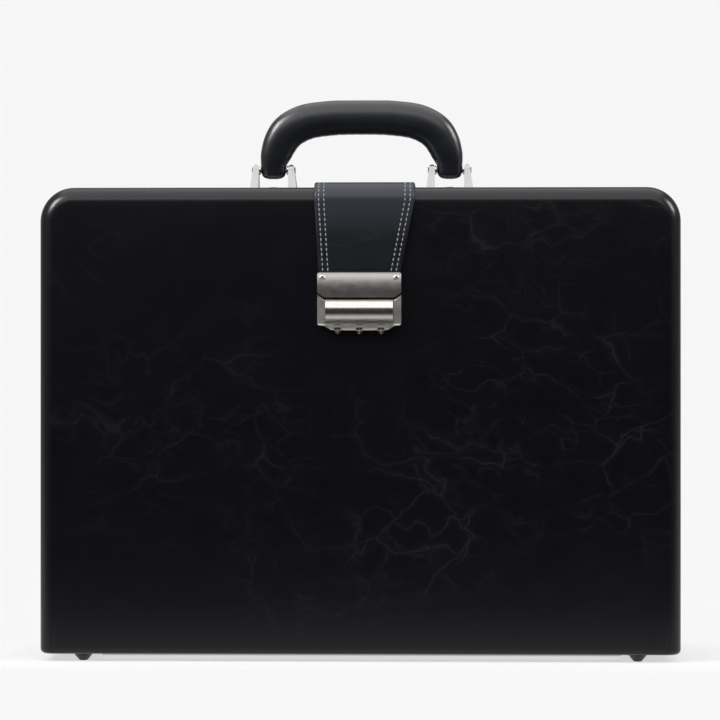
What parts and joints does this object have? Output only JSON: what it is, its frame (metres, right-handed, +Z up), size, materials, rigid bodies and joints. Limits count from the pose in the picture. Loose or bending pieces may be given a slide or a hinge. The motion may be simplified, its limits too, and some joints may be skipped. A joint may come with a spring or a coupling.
{
  "type": "briefcase",
  "caption": "Upright hard leather briefcase: two shells hinged below, folding handle on posts, strap closing into a number lock, stays and pockets inside.",
  "frame": {"origin": "middle of the bounding box on the floor under the studs", "axes": "+Z up with the case standing on its hinge side, -Y out of the front with the lock, +X along the width"},
  "size_m": [0.44, 0.124, 0.3875],
  "materials": {
    "cover": "semi-gloss, fine creases",
    "strap": "satin, stitched",
    "grip": "glossy",
    "board": "matte",
    "lining": "matte",
    "frame": "gloss black",
    "chrome": "polished",
    "steel": "satin",
    "dark": "satin black",
    "wheel": "gloss",
    "stud": "gloss black",
    "pocket": "matte"
  },
  "bodies": {
    "base": {"base_core": "board", "base_cover": "cover", "base_lining": "lining", "base_frame": "frame", "hinge_leaf_base": "steel", "hinge_pin": "steel", "hinge_rivets_base": "steel", "bracket_left": "chrome", "bracket_right": "chrome", "bracket_rivets": "chrome", "bracket_backplates": "steel", "handle_pin_left": "dark", "handle_pin_right": "dark", "handle_washers": "chrome", "strap_back": "strap", "strap_rivets": "chrome", "feet_base": "stud", "stay_pins_base": "steel"},
    "lid": {"lid_core": "board", "lid_cover": "cover", "lid_lining": "lining", "lid_frame": "frame", "hinge_leaf_lid": "steel", "hinge_rivets_lid": "steel", "lock_housing": "chrome", "lock_chassis": "steel", "lock_backplate": "steel", "lock_screws": "steel", "release_springs": "steel", "dial_axle": "steel", "detent_spring": "steel", "feet_lid": "stud", "stay_pivots_lid": "steel", "organiser_panel": "pocket", "file_pocket": "pocket", "card_pockets": "pocket", "pen_loops": "pocket"},
    "handle": {"handle_grip": "grip"},
    "strap": {"strap_flap": "strap", "hasp_plate": "chrome", "hasp_backplate": "steel", "hasp_screws": "chrome", "hasp_catch": "steel"},
    "release": {"release_bar": "chrome", "lock_bolt": "steel"},
    "left_wheel": {"dial_left": "wheel"},
    "centre_wheel": {"dial_centre": "wheel"},
    "right_wheel": {"dial_right": "wheel"},
    "left_stay": {"stay_left": "chrome"},
    "right_stay": {"stay_right": "chrome"}
  },
  "joints": [
    {"name": "lid_open", "type": "hinge", "parent": "base", "child": "lid", "pos_m": [0, -0.011, 0.00285], "axis": [1, 0, 0], "range_deg": [0, 95]},
    {"name": "strap_open", "type": "hinge", "parent": "base", "child": "strap", "pos_m": [0, -0.007, 0.3265], "axis": [-1, 0, 0], "range_deg": [0, 85], "deforming": ["strap_flap"]},
    {"name": "handle_fold", "type": "hinge", "parent": "base", "child": "handle", "pos_m": [0, 0.006, 0.3387], "axis": [1, 0, 0], "range_deg": [-90, 90]},
    {"name": "release_slide", "type": "slide", "parent": "lid", "child": "release", "axis": [0, 0, -1], "range_m": [0, 0.002], "stiffness_N_per_m": 500, "springref_m": -0.002, "deforming": ["release_springs"]},
    {"name": "left_wheel_spin", "type": "hinge", "parent": "lid", "child": "left_wheel", "pos_m": [-0.01482, -0.05335, 0.2273], "axis": [1, 0, 0], "continuous": true},
    {"name": "centre_wheel_spin", "type": "hinge", "parent": "lid", "child": "centre_wheel", "pos_m": [0, -0.05335, 0.2273], "axis": [1, 0, 0], "continuous": true},
    {"name": "right_wheel_spin", "type": "hinge", "parent": "lid", "child": "right_wheel", "pos_m": [0.01482, -0.05335, 0.2273], "axis": [1, 0, 0], "continuous": true},
    {"name": "left_stay_turn", "type": "hinge", "parent": "lid", "child": "left_stay", "pos_m": [-0.20985, -0.0395, 0.03896], "axis": [1, 0, 0], "range_deg": [-47.5, 0]},
    {"name": "right_stay_turn", "type": "hinge", "parent": "lid", "child": "right_stay", "pos_m": [0.20985, -0.0395, 0.03896], "axis": [1, 0, 0], "range_deg": [-47.5, 0]}
  ],
  "couplings": [
    {"joint": "left_stay_turn", "follows": "lid_open", "ratio": -0.5},
    {"joint": "right_stay_turn", "follows": "lid_open", "ratio": -0.5}
  ]
}
